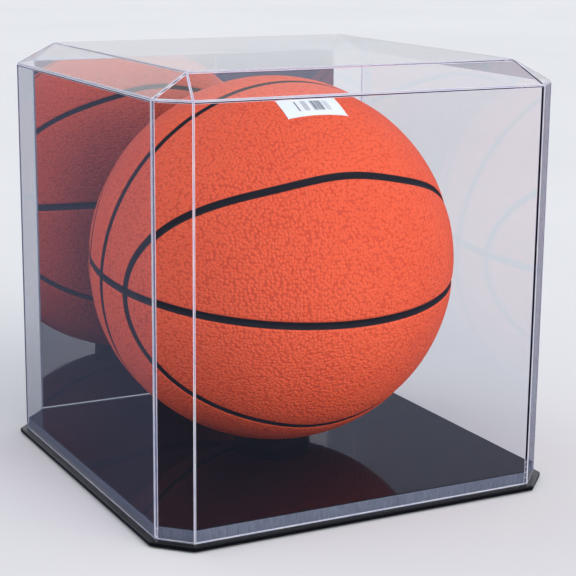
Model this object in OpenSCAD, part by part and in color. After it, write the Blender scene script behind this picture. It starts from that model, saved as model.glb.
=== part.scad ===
// Display case for a basketball: a lift-off cover of cemented clear sheet with cut
// corners and a bevelled top, a black base with a locating riser, a mirror and the ball.
// Origin at the centre of the surface the feet stand on, +Z up, front towards -Y.

/* [Cover] */
// Outside width and depth of the cover
case_w = 272; // [268:1:320]
// Height of the upright walls
wall_h = 259; // [252:1:300]
// Length taken off each wall at the cut corners
corner_cut = 18; // [10:1:26]
// How far the sloping panels lean in before the flat top
bevel_run = 25; // [20:1:35]
// How far the flat top stands above the walls
bevel_rise = 14; // [10:1:30]
// Thickness of the clear sheet
sheet_t = 3; // [2:0.5:4]
// Width of the cemented joint between two panels
joint_gap = 0.1; // [0.05:0.05:0.2]

/* [Mirror] */
// Thickness of the mirror sheet
mirror_t = 2; // [1.5:0.5:3]
// Space from the mirror to the wall behind it
mirror_bond = 0.1; // [0.05:0.05:0.3]

/* [Base] */
// Thickness of the base plate
plate_t = 3; // [2:0.5:6]
// How far the base plate stands out past the cover
plate_margin = 4; // [1:0.5:10]
// Height of the riser that locates the cover
riser_h = 8; // [4:0.5:15]
// Space between the riser's sides and the cover
riser_clearance = 0.5; // [0.3:0.1:2]
// Bevel on the top edges of the plate and the riser
edge_bevel = 0.6; // [0.2:0.1:1]
// Height of the rubber feet
foot_h = 1; // [0.5:0.5:5]
// Radius of a rubber foot
foot_r = 6; // [4:0.5:10]
// Distance of each foot from the base's centre lines
foot_pitch = 112; // [80:1:115]

/* [Ball seat] */
// Height of the ring that the ball sits in
ring_h = 7; // [3:0.5:8]
// Radius of the ring's bore
ring_bore_r = 20; // [12:1:26]
// Width of the ring's wall
ring_wall = 6; // [4:0.5:10]

/* [Ball] */
// Diameter of the ball
ball_d = 241; // [236:0.5:244]
// Thickness of the ball's rubber cover
cover_t = 2.2; // [1.5:0.1:4]
// Thickness of the bladder inside it
bladder_t = 0.8; // [0.6:0.1:2]
// Running space between the ball and the ring
seat_clearance = 0.3; // [0.2:0.05:0.5]
// Radius of the valve's plug
valve_r = 4; // [3:0.5:6]
// Radius of the needle hole in the valve
needle_r = 0.8; // [0.5:0.1:1]

/* [Label] */
// Width of the paper label on the ball
label_w = 42; // [20:1:60]
// Height of the label
label_h = 20.5; // [10:0.5:30]
// Height of the label's middle above the ball's equator, in degrees
label_lift = 64; // [40:1:75]
// Thickness of the label
label_t = 0.3; // [0.2:0.1:0.6]

/* [Hidden] */
$fn = 96;

acrylic = [0.80, 0.86, 0.98, 0.35];
mirror_silver = [0.80, 0.82, 0.86];
gloss_black = [0.03, 0.03, 0.035];
rubber_black = [0.08, 0.08, 0.08];
ball_orange = [0.90, 0.30, 0.12];
label_white = [0.95, 0.95, 0.92];

// Levels, from the surface the feet stand on
plate_z = foot_h;
deck_z = plate_z + plate_t;
riser_top_z = deck_z + riser_h;
wall_top_z = deck_z + wall_h;
top_z = wall_top_z + bevel_rise;

// Directions around the cover, in steps of 45 degrees from +X
RIGHT = 0;
BACK_RIGHT = 1;
BACK = 2;
BACK_LEFT = 3;
LEFT = 4;
FRONT_LEFT = 5;
FRONT = 6;
FRONT_RIGHT = 7;
SIDES = 8;
step_angle = 360 / SIDES;

// The cover's outer faces are numbered: upright walls first, the slopes above them,
// then the flat top. Each face is a plane [nx, ny, nz, distance from the origin].
TOP = 2 * SIDES;
function is_corner(k) = k % 2 == 1;
function around(k) = (k + SIDES) % SIDES;
function wall_reach(k) = is_corner(k) ? (case_w - corner_cut) / sqrt(2) : case_w / 2;
function slope_run(k) = is_corner(k) ? (2 * bevel_run - corner_cut) / sqrt(2) : bevel_run;
function direction(k) = [cos(step_angle * k), sin(step_angle * k)];
function wall_face(k) = [direction(k).x, direction(k).y, 0, wall_reach(k)];
function slope_face(k) =
  let (length = norm([slope_run(k), bevel_rise]),
       out = bevel_rise / length,
       up = slope_run(k) / length)
  [out * direction(k).x, out * direction(k).y, up, out * wall_reach(k) + up * wall_top_z];
function face(i) = i == TOP ? [0, 0, 1, top_z]
                 : i < SIDES ? wall_face(i) : slope_face(i - SIDES);
function neighbours(i) =
  i == TOP ? [for (k = [0 : SIDES - 1]) SIDES + k]
  : i < SIDES ? [around(i + 1), around(i - 1), SIDES + i,
                 SIDES + around(i + 1), SIDES + around(i - 1)]
  : let (k = i - SIDES)
    [k, around(k + 1), around(k - 1), SIDES + around(k + 1), SIDES + around(k - 1), TOP,
     if (!is_corner(k)) SIDES + around(k + 2), if (!is_corner(k)) SIDES + around(k - 2)];

function normal(plane) = [plane[0], plane[1], plane[2]];
function sunk(plane, depth) = [plane[0], plane[1], plane[2], plane[3] - depth];
function flipped(plane) = -plane;
// The plane halfway between two faces, held back from it by half a cemented joint
function mitre(a, b) =
  let (m = b - a) [m[0], m[1], m[2], m[3] - norm(normal(m)) * joint_gap / 2];

// Everything behind a plane, out to a cube larger than the case
REACH = 4 * case_w;
module behind(plane) {
  size = norm(normal(plane));
  tilt = acos(plane[2] / size);
  rotate([0, tilt, atan2(plane[1], plane[0])])
    translate([-REACH / 2, -REACH / 2, plane[3] / size - REACH])
      cube(REACH);
}

// One flat sheet of the cover, mitred against each of its neighbours
module sheet_panel(i) {
  color(acrylic)
    intersection() {
      behind(face(i));
      behind(flipped(sunk(face(i), sheet_t)));
      intersection_for (j = neighbours(i)) behind(mitre(face(i), face(j)));
      behind([0, 0, -1, -deck_z]);
    }
}

module front_wall() sheet_panel(FRONT);
module right_wall() sheet_panel(RIGHT);
module back_wall() sheet_panel(BACK);
module left_wall() sheet_panel(LEFT);
module front_left_corner() sheet_panel(FRONT_LEFT);
module front_right_corner() sheet_panel(FRONT_RIGHT);
module back_right_corner() sheet_panel(BACK_RIGHT);
module back_left_corner() sheet_panel(BACK_LEFT);
module front_bevel() sheet_panel(SIDES + FRONT);
module right_bevel() sheet_panel(SIDES + RIGHT);
module back_bevel() sheet_panel(SIDES + BACK);
module left_bevel() sheet_panel(SIDES + LEFT);
module front_left_facet() sheet_panel(SIDES + FRONT_LEFT);
module front_right_facet() sheet_panel(SIDES + FRONT_RIGHT);
module back_right_facet() sheet_panel(SIDES + BACK_RIGHT);
module back_left_facet() sheet_panel(SIDES + BACK_LEFT);
module top_panel() sheet_panel(TOP);

// Square with cut corners, its sides moved out from the cover's by offset_out
module cut_square(offset_out) {
  half = case_w / 2 + offset_out;
  cut = corner_cut + offset_out * (2 - sqrt(2));
  polygon([
    [half, -half + cut], [half, half - cut], [half - cut, half], [-half + cut, half],
    [-half, half - cut], [-half, -half + cut], [-half + cut, -half], [half - cut, -half]
  ]);
}

// Flat plate of that outline, with bevelled top edges
module bevelled_plate(offset_out, low_z, thick) {
  high_z = low_z + thick;
  intersection() {
    translate([0, 0, low_z]) linear_extrude(thick) cut_square(offset_out);
    intersection_for (k = [0 : SIDES - 1]) {
      reach = wall_reach(k) + offset_out - edge_bevel;
      behind([direction(k).x, direction(k).y, 1, reach + high_z]);
    }
  }
}

module base_plate() color(gloss_black) bevelled_plate(plate_margin, plate_z, plate_t);

module riser_plate()
  color(gloss_black) bevelled_plate(-sheet_t - riser_clearance, deck_z, riser_h);

module rubber_feet() {
  color(rubber_black)
    for (x = [-1, 1], y = [-1, 1])
      translate([x * foot_pitch, y * foot_pitch, 0])
        cylinder(r = foot_r, h = foot_h);
}

// Flat ring on the riser that keeps the ball from rolling
module ball_ring() {
  color(gloss_black)
    translate([0, 0, riser_top_z])
      difference() {
        cylinder(r = ring_bore_r + ring_wall, h = ring_h);
        translate([0, 0, -1]) cylinder(r = ring_bore_r, h = ring_h + 2);
      }
}

// Mirror on the inside of the back wall, clear of the riser and of the cut corners
mirror_low_z = riser_top_z + 1;
mirror_high_z = wall_top_z - 2;
mirror_y = case_w / 2 - sheet_t - mirror_bond - mirror_t;
mirror_half_w = case_w / 2 - corner_cut - 1;
module mirror_sheet() {
  color(mirror_silver)
    translate([-mirror_half_w, mirror_y, mirror_low_z])
      cube([2 * mirror_half_w, mirror_t, mirror_high_z - mirror_low_z]);
}

ball_r = ball_d / 2;
ball_sink = ball_r - sqrt(ball_r * ball_r - ring_bore_r * ring_bore_r);
ball_z = riser_top_z + ring_h - ball_sink + seat_clearance + ball_r;
inner_gap = 0.2;
bladder_r = ball_r - cover_t - inner_gap;
plug_clearance = 0.1;

// The valve stands in the ball's right-hand side
module at_valve(from) translate([from, 0, ball_z]) rotate([0, 90, 0]) children();

module ball_cover() {
  color(ball_orange)
    difference() {
      translate([0, 0, ball_z]) sphere(ball_r, $fn = 180);
      translate([0, 0, ball_z]) sphere(ball_r - cover_t, $fn = 180);
      at_valve(ball_r - 2 * cover_t)
        cylinder(r = valve_r + plug_clearance, h = 3 * cover_t);
    }
}

module ball_bladder() {
  color(rubber_black)
    difference() {
      translate([0, 0, ball_z]) sphere(bladder_r, $fn = 120);
      translate([0, 0, ball_z]) sphere(bladder_r - bladder_t, $fn = 120);
      at_valve(bladder_r - 4 * bladder_t)
        cylinder(r = valve_r + plug_clearance, h = 6 * bladder_t);
    }
}

valve_len = 16;
valve_recess = 0.4;
module ball_valve() {
  color(rubber_black)
    at_valve(ball_r - valve_recess - valve_len)
      difference() {
        cylinder(r = valve_r, h = valve_len);
        translate([0, 0, 2]) cylinder(r = needle_r, h = valve_len);
      }
}

label_gap = 0.05;
module price_label() {
  color(label_white)
    translate([0, 0, ball_z])
      intersection() {
        difference() {
          sphere(ball_r + label_gap + label_t, $fn = 180);
          sphere(ball_r + label_gap, $fn = 180);
        }
        rotate([90 - label_lift, 0, 0])
          translate([-label_w / 2, -label_h / 2, 0])
            cube([label_w, label_h, ball_d]);
      }
}

base_plate();
riser_plate();
rubber_feet();
ball_ring();
front_wall();
right_wall();
back_wall();
left_wall();
front_left_corner();
front_right_corner();
back_right_corner();
back_left_corner();
front_bevel();
right_bevel();
back_bevel();
left_bevel();
front_left_facet();
front_right_facet();
back_right_facet();
back_left_facet();
top_panel();
mirror_sheet();
ball_cover();
ball_bladder();
ball_valve();
price_label();
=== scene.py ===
import math

import bmesh
import bpy
import numpy as np
from mathutils import Matrix, Vector


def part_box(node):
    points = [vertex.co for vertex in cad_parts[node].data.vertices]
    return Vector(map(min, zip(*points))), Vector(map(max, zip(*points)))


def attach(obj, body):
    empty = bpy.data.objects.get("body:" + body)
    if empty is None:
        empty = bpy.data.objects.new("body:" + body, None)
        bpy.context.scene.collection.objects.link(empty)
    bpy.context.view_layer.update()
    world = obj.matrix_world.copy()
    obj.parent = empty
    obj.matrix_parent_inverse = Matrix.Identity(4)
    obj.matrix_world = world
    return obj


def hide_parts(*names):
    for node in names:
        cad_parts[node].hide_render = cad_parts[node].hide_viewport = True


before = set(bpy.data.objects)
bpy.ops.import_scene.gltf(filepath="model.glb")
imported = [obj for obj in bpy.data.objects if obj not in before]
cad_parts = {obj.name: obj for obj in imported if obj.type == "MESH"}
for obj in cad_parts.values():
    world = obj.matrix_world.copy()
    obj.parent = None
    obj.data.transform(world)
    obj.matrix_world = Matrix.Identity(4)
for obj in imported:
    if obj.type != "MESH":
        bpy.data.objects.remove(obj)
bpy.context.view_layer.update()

MM = 0.001

# Camera: where the photograph was taken from, in the object's frame; angles in degrees
CAMERA_PLACE = (-0.4785, -0.9445, 0.3635)
CAMERA_YAW = 27.45
CAMERA_PITCH = 13.06
CAMERA_ROLL = 0.56
CAMERA_LENS = 100.8  # millimetres
SENSOR_WIDTH = 36.0  # millimetres

# Light: its strength all round, and the sides that the suns shine from
WORLD_STRENGTH = 0.88
WORLD_COLOUR = (0.90, 0.92, 0.97, 1)
KEY_SIDE = (0.42, -0.84, 0.34)
TOP_SIDE = (0.35, -0.15, 0.90)
RIM_SIDE = (-0.42, 0.85, 0.32)
KEY_COLOUR = (1.0, 0.98, 0.95)
FLOOR_HALF = 30.0

# Surroundings as the sheets reflect them: a dim floor, so that the walls stay clear
REFLECTED_ROOM = (0.40, 0.43, 0.54, 1)
REFLECTED_FLOOR = (0.10, 0.11, 0.17, 1)
SURFACES_PASSED = 3.0  # a ray that has been through more surfaces than this comes from inside

ACRYLIC_IOR = 1.49

# Flat sheets: rounding of their edges, and how their CAD faces are told apart
EDGE_ROUND = 0.55 * MM
PLATE_ROUND = 0.35 * MM
MIRROR_ROUND = 0.25 * MM
SHORTEST_ROUNDED = 4.0 * MM
SMALLEST_FACE = 0.2 * MM * MM
SAME_NORMAL = 0.999
SAME_PLANE = 0.3 * MM
WELD = 0.01 * MM
FACE_SHARE = 0.6  # a cover sheet's two clear faces have at least this share of its widest one
BLANK = 2000.0  # side of the cube that a sheet is cut from, in millimetres

# Seat ring and feet
RING_TURNS = 96
FOOT_TURNS = 48
RING_WALL = 6.0 * MM
RING_ROUND = 0.5 * MM
FOOT_RADIUS = 6.0 * MM
FOOT_ROUND = 0.7 * MM

# Ball: fineness of its mesh, and the pebbles of its rubber
BALL_SUBDIVISIONS = 7
PEBBLE_SCALE = 490.0
PEBBLE_HEIGHT = 0.6 * MM
PEBBLE_WANDER = 0.8 * MM

# Ball seams, as angles from the poles of the two loops
SEAM_TILT = math.radians(8.3)
LOOP_AT_EQUATOR = math.radians(75.2)
LOOP_AT_MERIDIAN = math.radians(44.3)
LOOP_SHOULDER = math.radians(-6.0)
SEAM_HALF = 3.3 * MM
SEAM_DEPTH = 1.5 * MM
PAINT_HALF = 2.55 * MM
SEAM_BAND = 2.2 * SEAM_HALF  # the mesh is finer this close to a seam
PILLOW_DEPTH = 0.45 * MM
PILLOW_REACH = 8.0 * MM

# Sticker on the ball: its size, how far it is lifted from the front, and its two sides
LABEL_WIDTH = 42.0 * MM
LABEL_HEIGHT = 20.5 * MM
LABEL_ROUND = 1.2 * MM
LABEL_LIFT = math.radians(64)
LABEL_INSIDE = 0.06 * MM
LABEL_OUTSIDE = 0.30 * MM
LABEL_COLUMNS = 44
LABEL_ROWS = 22

# Bars printed on the sticker, as shares of its length and of its height
BAR_FOOT, BAR_TOP = 0.26, 0.78
BARS = ((0.235, 0.255), (0.34, 0.352), (0.372, 0.384), (0.40, 0.412), (0.49, 0.502), (0.515, 0.54),
        (0.552, 0.564), (0.58, 0.605), (0.62, 0.645), (0.66, 0.672), (0.72, 0.732), (0.765, 0.777))


# ---------------------------------------------------------------- camera, light

def make_camera():
    """The photograph's camera."""
    data = bpy.data.cameras.new("camera")
    data.lens = CAMERA_LENS
    data.sensor_width = SENSOR_WIDTH
    camera = bpy.data.objects.new("camera", data)
    bpy.context.scene.collection.objects.link(camera)
    yaw, pitch = math.radians(CAMERA_YAW), math.radians(CAMERA_PITCH)
    flat = Vector((math.sin(yaw), math.cos(yaw), 0))
    ahead = flat * math.cos(pitch) - Vector((0, 0, math.sin(pitch)))
    level = ahead.to_track_quat("-Z", "Y").to_matrix().to_4x4()
    roll = Matrix.Rotation(math.radians(CAMERA_ROLL), 4, "Z")
    camera.matrix_world = Matrix.Translation(CAMERA_PLACE) @ level @ roll
    bpy.context.scene.camera = camera


def make_world():
    """Soft even light all round, dimmer where it's seen by reflection inside the case."""
    world = bpy.data.worlds.new("studio")
    bpy.context.scene.world = world
    world.use_nodes = True
    tree = world.node_tree
    back = tree.nodes["Background"]
    back.inputs["Strength"].default_value = WORLD_STRENGTH
    path = tree.nodes.new("ShaderNodeLightPath")
    inside = tree.nodes.new("ShaderNodeMath")
    inside.operation = "GREATER_THAN"
    inside.inputs[1].default_value = SURFACES_PASSED
    reflected = tree.nodes.new("ShaderNodeMath")
    reflected.operation = "MULTIPLY"
    tone = tree.nodes.new("ShaderNodeMix")
    tone.data_type = "RGBA"
    tone.inputs["A"].default_value = WORLD_COLOUR
    tone.inputs["B"].default_value = REFLECTED_ROOM
    tree.links.new(path.outputs["Transmission Depth"], inside.inputs[0])
    tree.links.new(path.outputs["Glossy Depth"], reflected.inputs[0])
    tree.links.new(inside.outputs[0], reflected.inputs[1])
    tree.links.new(reflected.outputs[0], tone.inputs["Factor"])
    tree.links.new(tone.outputs["Result"], back.inputs["Color"])


def sun(name, toward, power, spread, colour, mirrored=False):
    """Even light from one side, for the case and the whole floor alike, seen in the sheets if mirrored."""
    data = bpy.data.lights.new(name, "SUN")
    data.energy = power
    data.angle = math.radians(spread)
    data.color = colour
    lamp = bpy.data.objects.new(name, data)
    bpy.context.scene.collection.objects.link(lamp)
    lamp.rotation_mode = "QUATERNION"
    lamp.rotation_quaternion = Vector(toward).to_track_quat("Z", "Y")
    lamp.visible_glossy = lamp.visible_transmission = mirrored


def make_studio():
    """Pale floor and soft light; the main lamps aren't seen as reflections in the sheets."""
    scene = bpy.context.scene
    scene.view_settings.view_transform = "Standard"
    scene.cycles.max_bounces = 24
    scene.cycles.transmission_bounces = 20
    scene.cycles.glossy_bounces = 10
    scene.cycles.transparent_max_bounces = 24
    scene.cycles.caustics_reflective = True
    scene.cycles.caustics_refractive = False
    make_world()
    sun("key", KEY_SIDE, 1.9, 50, KEY_COLOUR)
    sun("glint", KEY_SIDE, 0.3, 56, KEY_COLOUR, mirrored=True)
    sun("top", TOP_SIDE, 0.5, 50, (0.97, 0.98, 1.0))
    sun("rim", RIM_SIDE, 1.0, 55, (1.0, 0.96, 0.98))
    floor = bpy.data.meshes.new("floor")
    corners = [(x * FLOOR_HALF, y * FLOOR_HALF, 0) for x, y in ((-1, -1), (1, -1), (1, 1), (-1, 1))]
    floor.from_pydata(corners, [], [(0, 1, 2, 3)])
    stage = bpy.data.objects.new("floor", floor)
    scene.collection.objects.link(stage)
    floor.materials.append(floor_material())


# ---------------------------------------------------------------- materials

class Nodes:
    """A material's node tree, with short calls to add and join nodes."""

    def __init__(self, name):
        self.material = bpy.data.materials.new(name)
        self.material.use_nodes = True
        self.tree = self.material.node_tree
        self.tree.nodes.clear()
        self.output = self.tree.nodes.new("ShaderNodeOutputMaterial")

    def add(self, kind, inputs=None, **settings):
        node = self.tree.nodes.new("ShaderNode" + kind)
        for key, value in settings.items():
            setattr(node, key, value)
        for key, value in (inputs or {}).items():
            self.put(value, node.inputs[key])
        return node

    def put(self, value, socket):
        if isinstance(value, bpy.types.NodeSocket):
            self.tree.links.new(value, socket)
        else:
            socket.default_value = value

    def math(self, operation, a, b=0.0):
        node = self.add("Math", operation=operation)
        self.put(a, node.inputs[0])
        self.put(b, node.inputs[1])
        return node.outputs[0]

    def place(self):
        return self.add("TexCoord").outputs["Object"]

    def noise(self, scale, detail=2.0, roughness=0.5, vector=None):
        node = self.add("TexNoise", {"Scale": scale, "Detail": detail, "Roughness": roughness})
        self.put(vector or self.place(), node.inputs["Vector"])
        return node.outputs["Fac"]

    def remap(self, value, low, high, to_low, to_high):
        node = self.add("MapRange", {"Value": value, "From Min": low, "From Max": high,
                                     "To Min": to_low, "To Max": to_high})
        return node.outputs["Result"]

    def blend(self, factor, a, b):
        node = self.add("Mix", data_type="RGBA")
        self.put(factor, node.inputs["Factor"])
        self.put(a, node.inputs["A"])
        self.put(b, node.inputs["B"])
        return node.outputs["Result"]

    def bump(self, height, strength, distance):
        node = self.add("Bump", {"Height": height, "Strength": strength, "Distance": distance})
        return node.outputs["Normal"]

    def choose(self, factor, first, second):
        """A Mix Shader of two shader nodes."""
        node = self.add("MixShader")
        self.put(factor, node.inputs[0])
        self.put(first.outputs[0], node.inputs[1])
        self.put(second.outputs[0], node.inputs[2])
        return node

    def surface(self, shader):
        """Ends the material with this shader node."""
        self.put(shader.outputs[0], self.output.inputs["Surface"])
        return self.material


def floor_material():
    """Pale floor, dim where the case reflects it."""
    n = Nodes("floor")
    tone = n.remap(n.noise(1.2, 3), 0.3, 0.7, 0.0, 1.0)
    colour = n.blend(tone, (0.608, 0.618, 0.633, 1), (0.634, 0.644, 0.659, 1))
    seen = n.blend(n.add("LightPath").outputs["Glossy Depth"], colour, REFLECTED_FLOOR)
    shader = n.add("BsdfPrincipled", {"Base Color": seen, "Roughness": 0.9, "Specular IOR Level": 0.0})
    return n.surface(shader)


def clear_acrylic():
    """Clear sheet. Lamps' rays go straight through it, so that the ball inside is lit cleanly."""
    n = Nodes("clear_acrylic")
    wave = n.noise(9.0, 1.0)
    haze = n.remap(n.noise(45.0, 4.0, 0.7), 0.52, 0.8, 0.0, 0.045)
    glass = n.add("BsdfPrincipled", {
        "Base Color": (0.975, 0.983, 1.0, 1), "Roughness": haze, "IOR": ACRYLIC_IOR,
        "Transmission Weight": 1.0, "Normal": n.bump(wave, 0.03, 2 * MM)})
    clear = n.add("BsdfTransparent", {"Color": (0.94, 0.955, 1.0, 1)})
    path = n.add("LightPath")
    return n.surface(n.choose(path.outputs["Is Shadow Ray"], n.choose(
        path.outputs["Is Diffuse Ray"], glass, clear), clear))


def cut_edge():
    """Sawn and cemented edges of the clear sheet, slightly frosted."""
    n = Nodes("cut_edge")
    grain = n.noise(700.0, 3.0)
    tone = n.remap(n.noise(90.0, 3.0), 0.35, 0.65, 0.0, 1.0)
    colour = n.blend(tone, (0.80, 0.80, 1.0, 1), (0.95, 0.94, 1.0, 1))
    edge = n.add("BsdfPrincipled", {
        "Base Color": colour, "Roughness": n.remap(grain, 0.3, 0.7, 0.06, 0.22), "IOR": ACRYLIC_IOR,
        "Transmission Weight": 0.45, "Normal": n.bump(grain, 0.08, 0.05 * MM)})
    clear = n.add("BsdfTransparent", {"Color": (0.80, 0.81, 0.90, 1)})
    return n.surface(n.choose(n.add("LightPath").outputs["Is Shadow Ray"], edge, clear))


def joint_face():
    """Cemented mitre of the clear sheet: clear, with a slightly uneven line of cement."""
    n = Nodes("joint_face")
    flow = n.noise(220.0, 3.0)
    colour = n.blend(n.remap(flow, 0.35, 0.65, 0.0, 1.0), (0.86, 0.86, 1.0, 1), (0.97, 0.97, 1.0, 1))
    face = n.add("BsdfPrincipled", {
        "Base Color": colour, "Roughness": n.remap(flow, 0.3, 0.7, 0.02, 0.09), "IOR": ACRYLIC_IOR,
        "Transmission Weight": 1.0})
    clear = n.add("BsdfTransparent", {"Color": (0.90, 0.91, 0.97, 1)})
    return n.surface(n.choose(n.add("LightPath").outputs["Is Shadow Ray"], face, clear))


def mirror_silver():
    """Front-silvered sheet with a slight wave and faint smears."""
    n = Nodes("mirror_silver")
    wave = n.noise(7.0, 1.5)
    smear = n.remap(n.noise(30.0, 3.0), 0.45, 0.8, 0.006, 0.035)
    shader = n.add("BsdfPrincipled", {
        "Base Color": (0.86, 0.87, 0.90, 1), "Metallic": 1.0, "Roughness": smear,
        "Normal": n.bump(wave, 0.05, 1.5 * MM)})
    return n.surface(shader)


def mirror_backing():
    """Grey paint on the back and edges of the mirror."""
    n = Nodes("mirror_backing")
    streak = n.noise(60.0, 4.0, 0.6)
    colour = n.blend(n.remap(streak, 0.3, 0.7, 0.0, 1.0), (0.18, 0.20, 0.23, 1), (0.24, 0.26, 0.29, 1))
    shader = n.add("BsdfPrincipled", {
        "Base Color": colour, "Roughness": n.remap(streak, 0.3, 0.7, 0.45, 0.6),
        "Normal": n.bump(n.noise(700.0, 2.0), 0.15, 0.1 * MM)})
    return n.surface(shader)


def black_acrylic():
    """Gloss black sheet with faint wiping marks and a little dust."""
    n = Nodes("black_acrylic")
    smear = n.noise(28.0, 5.0, 0.65)
    speck = n.remap(n.noise(1100.0, 2.0, 0.8), 0.70, 0.78, 0.0, 1.0)
    patch = n.remap(n.noise(16.0, 2.0), 0.45, 0.65, 0.0, 0.5)
    dust = n.math("MULTIPLY", speck, patch)
    colour = n.blend(dust, (0.003, 0.003, 0.004, 1), (0.10, 0.11, 0.13, 1))
    roughness = n.math("ADD", n.remap(smear, 0.4, 0.75, 0.03, 0.10), n.math("MULTIPLY", dust, 0.4))
    shader = n.add("BsdfPrincipled", {
        "Base Color": colour, "Roughness": roughness, "IOR": ACRYLIC_IOR, "Specular IOR Level": 0.3})
    return n.surface(shader)


def sawn_black():
    """Sawn edge of black acrylic, grey with fine saw marks."""
    n = Nodes("sawn_black")
    stretch = n.add("VectorMath", operation="MULTIPLY")
    n.put(n.place(), stretch.inputs[0])
    n.put((1.0, 1.0, 0.12), stretch.inputs[1])
    marks = n.noise(1400.0, 3.0, 0.6, stretch.outputs[0])
    colour = n.blend(n.remap(marks, 0.3, 0.7, 0.0, 1.0), (0.10, 0.115, 0.15, 1), (0.19, 0.205, 0.25, 1))
    shader = n.add("BsdfPrincipled", {
        "Base Color": colour, "Roughness": n.remap(marks, 0.3, 0.7, 0.32, 0.5),
        "Normal": n.bump(marks, 0.25, 0.05 * MM)})
    return n.surface(shader)


def satin_black():
    """Turned black acrylic, dulled by the lathe."""
    n = Nodes("satin_black")
    turning = n.noise(350.0, 3.0)
    tone = n.remap(turning, 0.3, 0.7, 0.0, 1.0)
    colour = n.blend(tone, (0.002, 0.002, 0.003, 1), (0.006, 0.006, 0.007, 1))
    shader = n.add("BsdfPrincipled", {
        "Base Color": colour, "Specular IOR Level": 0.06,
        "Roughness": n.remap(turning, 0.3, 0.7, 0.5, 0.65)})
    return n.surface(shader)


def rubber(name, dark, light, scale):
    """Plain moulded rubber with a fine grain."""
    n = Nodes(name)
    grain = n.noise(scale, 3.0, 0.6)
    colour = n.blend(n.remap(grain, 0.3, 0.7, 0.0, 1.0), dark, light)
    shader = n.add("BsdfPrincipled", {
        "Base Color": colour, "Roughness": n.remap(grain, 0.3, 0.7, 0.55, 0.75),
        "Normal": n.bump(grain, 0.3, 0.15 * MM)})
    return n.surface(shader)


def ball_rubber():
    """Orange pebbled rubber, with a painted highlight on the pebble tops, painted shade between them, and
    black paint in the seam channels.
    """
    n = Nodes("ball_rubber")
    place = n.place()
    seam = n.add("Attribute", attribute_name="seam").outputs["Fac"]
    wander = n.add("TexNoise", {"Scale": 260.0, "Detail": 1.0, "Vector": place}).outputs["Color"]
    shifted = n.add("VectorMath", operation="MULTIPLY_ADD")
    n.put(wander, shifted.inputs[0])
    n.put((PEBBLE_WANDER,) * 3, shifted.inputs[1])
    n.put(place, shifted.inputs[2])
    cells = n.add("TexVoronoi", {"Scale": PEBBLE_SCALE, "Vector": shifted.outputs[0], "Randomness": 0.75},
                  feature="SMOOTH_F1")
    n.put(0.12, cells.inputs["Smoothness"])
    pebble = n.remap(cells.outputs["Distance"], 0.15, 0.75, 1.0, 0.0)
    off_seam = n.remap(seam, PAINT_HALF / MM, PAINT_HALF / MM + 1.2, 0.0, 1.0)
    height = n.math("MULTIPLY", pebble, off_seam)
    paint = n.remap(seam, PAINT_HALF / MM - 0.2, PAINT_HALF / MM + 0.2, 1.0, 0.0)
    tone = n.remap(n.noise(14.0, 4.0, 0.6), 0.3, 0.7, 0.0, 1.0)
    orange = n.blend(tone, (0.84, 0.082, 0.018, 1), (0.92, 0.105, 0.026, 1))
    # Painted highlight: the pebble tops are blended towards a lighter orange.
    pebble_highlight = n.blend(n.math("MULTIPLY", pebble, 0.35), orange, (0.98, 0.16, 0.055, 1))
    # Painted shade: the valleys between the pebbles are darkened towards a deep red.
    valley_shade = n.blend(n.remap(pebble, 0.0, 0.35, 0.5, 0.0), pebble_highlight, (0.50, 0.036, 0.010, 1))
    colour = n.blend(paint, valley_shade, (0.006, 0.006, 0.007, 1))
    roughness = n.remap(paint, 0.0, 1.0, 0.48, 0.55)
    shader = n.add("BsdfPrincipled", {
        "Base Color": colour, "Roughness": roughness, "Specular IOR Level": 0.4,
        "Normal": n.bump(height, 1.0, PEBBLE_HEIGHT)})
    return n.surface(shader)


def label_paper():
    """White sticker with plain upright bars and nothing to read."""
    n = Nodes("label_paper")
    across = n.add("Attribute", attribute_name="across").outputs["Fac"]
    along = n.add("Attribute", attribute_name="along").outputs["Fac"]
    bars = n.add("ValToRGB", {"Fac": across})
    ramp = bars.color_ramp
    ramp.interpolation = "CONSTANT"
    ramp.elements[0].color = (0, 0, 0, 1)
    ramp.elements.remove(ramp.elements[1])
    for start, end in BARS:
        ramp.elements.new(start).color = (1, 1, 1, 1)
        ramp.elements.new(end).color = (0, 0, 0, 1)
    above, below = n.math("GREATER_THAN", along, BAR_FOOT), n.math("LESS_THAN", along, BAR_TOP)
    height = n.math("MULTIPLY", above, below)
    ink = n.math("MULTIPLY", bars.outputs["Color"], height)
    fibre = n.noise(2500.0, 3.0)
    paper = n.blend(n.remap(fibre, 0.3, 0.7, 0.0, 1.0), (0.80, 0.84, 0.82, 1), (0.88, 0.90, 0.87, 1))
    colour = n.blend(ink, paper, (0.02, 0.025, 0.05, 1))
    shader = n.add("BsdfPrincipled", {
        "Base Color": colour, "Roughness": 0.5, "Normal": n.bump(fibre, 0.1, 0.05 * MM)})
    return n.surface(shader)


# ---------------------------------------------------------------- pieces

def mesh_from(bm, name, sharp_above=None):
    """The finished mesh of a bmesh: smooth, but sharp above an angle in degrees, where one is given."""
    mesh = bpy.data.meshes.new(name)
    for f in bm.faces:
        f.smooth = sharp_above is not None
    bm.to_mesh(mesh)
    bm.free()
    if sharp_above is not None:
        mesh.set_sharp_from_angle(angle=math.radians(sharp_above))
    return mesh


def add_piece(name, mesh, materials, body, node, place=(0, 0, 0)):
    """Puts a mesh in the scene as a piece that rides on a body and replaces a CAD node."""
    for material in materials:
        mesh.materials.append(material)
    piece = bpy.data.objects.new(name, mesh)
    piece.location = place
    bpy.context.scene.collection.objects.link(piece)
    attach(piece, body)
    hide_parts(node)


def paint_cad(node, material):
    """Gives a CAD node that stays as it is its finished material."""
    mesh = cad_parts[node].data
    mesh.materials.clear()
    mesh.materials.append(material)


# ---------------------------------------------------------------- sheets and plates

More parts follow.
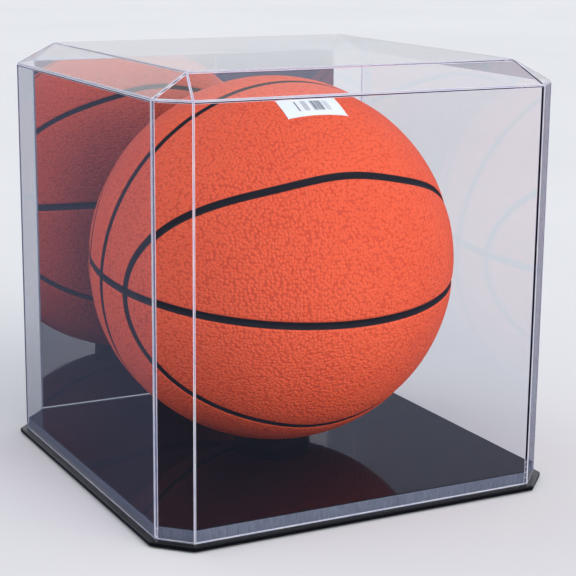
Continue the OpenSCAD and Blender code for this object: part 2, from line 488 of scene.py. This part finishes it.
def flat_faces(mesh):
    """The planes of a convex mesh as [normal, distance, area], and which plane each polygon lies in."""
    planes = []
    which = {}
    for p in sorted(mesh.polygons, key=lambda p: -p.area):
        normal = p.normal.copy()
        distance = normal.dot(p.center)
        same = [i for i, (other, far, area) in enumerate(planes)
                if normal.dot(other) > SAME_NORMAL and abs(distance - far) < SAME_PLANE]
        if same:
            planes[same[0]][2] += p.area
            which[p.index] = same[0]
        elif p.area > SMALLEST_FACE:
            which[p.index] = len(planes)
            planes.append([normal, distance, p.area])
    return planes, which


def long_edges(mesh, which):
    """The pairs of planes that meet along an edge long enough to round."""
    corner = [tuple(round(c / WELD) for c in v.co) for v in mesh.vertices]
    meeting = {}
    for p in mesh.polygons:
        ring = [corner[v] for v in p.vertices]
        for a, b in zip(ring, ring[1:] + ring[:1]):
            if a != b and p.index in which:
                meeting.setdefault(frozenset((a, b)), set()).add(which[p.index])
    lengths = {}
    for ends, sides in meeting.items():
        if len(sides) == 2:
            a, b = (Vector(e) * WELD for e in ends)
            pair = tuple(sorted(sides))
            lengths[pair] = lengths.get(pair, 0.0) + (a - b).length
    return [pair for pair, length in lengths.items() if length > SHORTEST_ROUNDED]


def cut_solid(planes):
    """A closed convex mesh, in millimetres, of all that lies behind the planes [normal, distance, slot]."""
    bm = bmesh.new()
    bmesh.ops.create_cube(bm, size=BLANK)
    for normal, distance, slot in planes:
        cut = bmesh.ops.bisect_plane(bm, geom=bm.verts[:] + bm.edges[:] + bm.faces[:], dist=1e-5,
                                     plane_co=normal * distance, plane_no=normal, clear_outer=True)
        rim = [g for g in cut["geom_cut"] if isinstance(g, bmesh.types.BMEdge)]
        if len(rim) > 2:
            made = bmesh.ops.contextual_create(bm, geom=rim)
            for f in made["faces"]:
                f.material_index = slot
    bmesh.ops.recalc_face_normals(bm, faces=bm.faces[:])
    return bm


def rounded(name, node, radius, slot_of, materials, body, steps=3):
    """A copy of a convex CAD node with its long edges rounded, its faces given a slot by slot_of."""
    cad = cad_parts[node].data
    flat, which = flat_faces(cad)
    planes = [[normal, distance / MM, slot_of(normal, area)] for normal, distance, area in flat]
    fillets = []
    r = radius / MM
    for i, j in long_edges(cad, which):
        a, b = planes[i], planes[j]
        slot = len(materials) - 1 if max(a[2], b[2]) else 0
        for k in range(1, steps + 1):
            share = k / (steps + 1)
            blend = a[0] * (1 - share) + b[0] * share
            u, v = (1 - share) / blend.length, share / blend.length
            fillets.append([blend.normalized(), u * a[1] + v * b[1] - r * (u + v - 1), slot])
    bm = cut_solid(planes + fillets)
    bmesh.ops.scale(bm, vec=(MM,) * 3, verts=bm.verts[:])
    add_piece(name, mesh_from(bm, name), materials, body, node)


def make_cover(clear, joint, edge):
    """Every clear sheet of the cover: clear faces, cemented mitres and slightly rounded sawn corners."""
    kinds = ("_wall", "_corner", "_bevel", "_facet", "_panel")
    for node in [n for n in sorted(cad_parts) if n.endswith(kinds)]:
        planes, _ = flat_faces(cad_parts[node].data)
        widest = max(area for normal, distance, area in planes)
        rounded("sheet_" + node, node, EDGE_ROUND, lambda normal, area: int(area < FACE_SHARE * widest),
                [clear, joint, edge], "cover")


def make_mirror(silver, backing):
    """The mirror, silvered at the front, with a grey painted back."""
    rounded("mirror", "mirror_sheet", MIRROR_ROUND, lambda normal, area: int(normal.y > -0.9),
            [silver, backing], "cover", steps=2)


def make_plates(gloss, sawn):
    """The base plate, and the riser, whose sides are left as the saw cut them."""
    rounded("gloss_base_plate", "base_plate", PLATE_ROUND, lambda normal, area: 0, [gloss], "base",
            steps=2)
    rounded("gloss_riser_plate", "riser_plate", PLATE_ROUND, lambda normal, area: int(abs(normal.z) < 0.1),
            [gloss, sawn], "base", steps=2)


# ---------------------------------------------------------------- turned pieces

def lathe(name, outline, turns):
    """The mesh of a closed turned solid about Z, from an outline of (radius, height) in metres."""
    bm = bmesh.new()
    rings = []
    for i in range(turns):
        a = 2 * math.pi * i / turns
        rings.append([bm.verts.new((r * math.cos(a), r * math.sin(a), z)) for r, z in outline])
    count = len(outline)
    for i in range(turns):
        here, after = rings[i], rings[(i + 1) % turns]
        for k in range(count):
            m = (k + 1) % count
            bm.faces.new((here[k], after[k], after[m], here[m]))
    bmesh.ops.remove_doubles(bm, verts=bm.verts[:], dist=1e-7)
    bmesh.ops.recalc_face_normals(bm, faces=bm.faces[:])
    return mesh_from(bm, name, sharp_above=35)


def round_corner(across, up, radius, start, end, steps=5):
    """Points of an arc about (across, up), from one angle to the other in degrees."""
    turns = [math.radians(start + (end - start) * i / steps) for i in range(steps + 1)]
    return [(across + radius * math.cos(a), up + radius * math.sin(a)) for a in turns]


def make_ring(black):
    """The ring that the ball sits in."""
    low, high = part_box("ball_ring")
    bore = high.x - RING_WALL
    outline = [(bore, low.z), (high.x, low.z)]
    outline += round_corner(high.x - RING_ROUND, high.z - RING_ROUND, RING_ROUND, 0, 90)
    outline += round_corner(bore + RING_ROUND, high.z - RING_ROUND, RING_ROUND, 90, 180)
    mesh = lathe("seat_ring", outline, RING_TURNS)
    add_piece("seat_ring", mesh, [black], "base", "ball_ring")


def make_feet(material):
    """Four stick-on feet with softened lower rims."""
    low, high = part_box("rubber_feet")
    pitch = high.x - FOOT_RADIUS
    outline = [(0.0, high.z), (0.0, low.z)]
    outline += round_corner(FOOT_RADIUS - FOOT_ROUND, low.z + FOOT_ROUND, FOOT_ROUND, -90, 0)
    outline += [(FOOT_RADIUS, high.z)]
    for name, x, y in (("front_left", -1, -1), ("front_right", 1, -1),
                       ("back_right", 1, 1), ("back_left", -1, 1)):
        mesh = lathe("foot_" + name, outline, FOOT_TURNS)
        add_piece("foot_" + name, mesh, [material], "base", "rubber_feet",
                  (x * pitch, y * pitch, 0))


# ---------------------------------------------------------------- ball

def seam_distance(n, radius):
    """Distance along the surface from unit directions n to the nearest seam, in metres."""
    c, s = math.cos(SEAM_TILT), math.sin(SEAM_TILT)
    pole = n @ np.array((0.0, -c, -s))
    side = n @ np.array((-1.0, 0.0, 0.0))
    low = n @ np.array((0.0, s, -c))
    nearest = np.minimum(np.arcsin(np.abs(low)), np.arcsin(np.abs(pole))) * radius
    turn = np.arctan2(low, side)
    loop = (LOOP_AT_EQUATOR * np.cos(turn) ** 2 + LOOP_AT_MERIDIAN * np.sin(turn) ** 2
            + LOOP_SHOULDER * np.sin(2 * turn) ** 2)
    slope = (LOOP_AT_MERIDIAN - LOOP_AT_EQUATOR) * np.sin(2 * turn) + 2 * LOOP_SHOULDER * np.sin(4 * turn)
    for sign in (-1, 1):
        angle = np.arccos(np.clip(sign * pole, -1, 1))
        lean = np.sqrt(1 + (slope / np.maximum(np.sin(angle), 0.05)) ** 2)
        nearest = np.minimum(nearest, np.abs(angle - loop) * radius / lean)
    return nearest


def ball_measures():
    """The ball's centre and radius, from the frame."""
    low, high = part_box("ball_cover")
    return (low + high) / 2, (high.z - low.z) / 2


def unit(places):
    """Directions of the places, each of length one."""
    return places / np.linalg.norm(places, axis=1)[:, None]


def fine_sphere(radius):
    """A unit sphere of even triangles, made finer along the seams."""
    bm = bmesh.new()
    bmesh.ops.create_icosphere(bm, subdivisions=BALL_SUBDIVISIONS, radius=1.0)
    near = seam_distance(unit(np.array([v.co for v in bm.verts])), radius) < SEAM_BAND
    bm.verts.ensure_lookup_table()
    edges = [e for e in bm.edges if near[e.verts[0].index] and near[e.verts[1].index]]
    bmesh.ops.subdivide_edges(bm, edges=edges, cuts=1, use_grid_fill=True)
    bmesh.ops.triangulate(bm, faces=[f for f in bm.faces if len(f.verts) > 3])
    return mesh_from(bm, "basketball", sharp_above=180)


def make_ball(material):
    """The ball: panels that dip softly towards the seams, and channels along them."""
    centre, radius = ball_measures()
    mesh = fine_sphere(radius)
    co = np.empty(len(mesh.vertices) * 3, np.float32)
    mesh.vertices.foreach_get("co", co)
    n = unit(co.reshape(-1, 3).astype(float))
    seam = seam_distance(n, radius)
    t = np.clip(seam / SEAM_HALF, 0, 1)
    sink = SEAM_DEPTH * (1 - t * t * (3 - 2 * t)) + PILLOW_DEPTH * np.exp(-(seam / PILLOW_REACH) ** 2)
    places = n * (radius - sink)[:, None] + np.array(centre)
    mesh.vertices.foreach_set("co", places.astype(np.float32).ravel())
    stored = mesh.attributes.new("seam", "FLOAT", "POINT")
    stored.data.foreach_set("value", (seam / MM).astype(np.float32))
    mesh.update()
    add_piece("basketball", mesh, [material], "ball", "ball_cover")


def label_point(x, y):
    """Pulls a point near a corner of the sticker's rectangle onto its rounded corner."""
    over_x = abs(x) - (LABEL_WIDTH / 2 - LABEL_ROUND)
    over_y = abs(y) - (LABEL_HEIGHT / 2 - LABEL_ROUND)
    if over_x > 0 and over_y > 0:
        pull = min(1.0, LABEL_ROUND / max(math.hypot(over_x, over_y), 1e-9)) - 1
        x += math.copysign(over_x * pull, x)
        y += math.copysign(over_y * pull, y)
    return x, y


def label_side(bm, centre, radius):
    """One side of the sticker as rows of points on a sphere, with across and along kept for its print."""
    across = bm.verts.layers.float.get("across") or bm.verts.layers.float.new("across")
    along = bm.verts.layers.float.get("along") or bm.verts.layers.float.new("along")
    out = Vector((0, -math.cos(LABEL_LIFT), math.sin(LABEL_LIFT)))
    right = Vector((1, 0, 0))
    up = out.cross(right)
    grid = []
    for j in range(LABEL_ROWS + 1):
        grid.append([])
        for i in range(LABEL_COLUMNS + 1):
            a, b = i / LABEL_COLUMNS, j / LABEL_ROWS
            x, y = label_point((a - 0.5) * LABEL_WIDTH, (b - 0.5) * LABEL_HEIGHT)
            depth = math.sqrt(radius * radius - x * x - y * y)
            v = bm.verts.new(centre + right * x + up * y + out * depth)
            v[across], v[along] = a, b
            grid[-1].append(v)
    for below, above in zip(grid, grid[1:]):
        for i in range(LABEL_COLUMNS):
            bm.faces.new((below[i], below[i + 1], above[i + 1], above[i]))
    return grid


def label_rim(grid):
    """The points round the sticker's edge, in order."""
    return (grid[0][:] + [row[-1] for row in grid[1:]] + grid[-1][-2::-1]
            + [row[0] for row in grid[-2:0:-1]])


def make_label(material):
    """A thin sticker that follows the ball, with small rounded corners."""
    centre, radius = ball_measures()
    bm = bmesh.new()
    inside = label_rim(label_side(bm, centre, radius + LABEL_INSIDE))
    outside = label_rim(label_side(bm, centre, radius + LABEL_OUTSIDE))
    for k in range(len(inside)):
        m = (k + 1) % len(inside)
        bm.faces.new((inside[k], inside[m], outside[m], outside[k]))
    bmesh.ops.recalc_face_normals(bm, faces=bm.faces[:])
    mesh = mesh_from(bm, "sticker", sharp_above=40)
    add_piece("sticker", mesh, [material], "ball", "price_label")


# ---------------------------------------------------------------- build

make_camera()
make_studio()
make_cover(clear_acrylic(), joint_face(), cut_edge())
make_mirror(mirror_silver(), mirror_backing())
make_plates(black_acrylic(), sawn_black())
make_ring(satin_black())
make_feet(rubber("foot_rubber", (0.02, 0.02, 0.02, 1), (0.045, 0.045, 0.045, 1), 900.0))
make_ball(ball_rubber())
make_label(label_paper())
inner_rubber = rubber("inner_rubber", (0.015, 0.015, 0.016, 1), (0.035, 0.035, 0.036, 1), 500.0)
paint_cad("ball_valve", inner_rubber)
paint_cad("ball_bladder", inner_rubber)
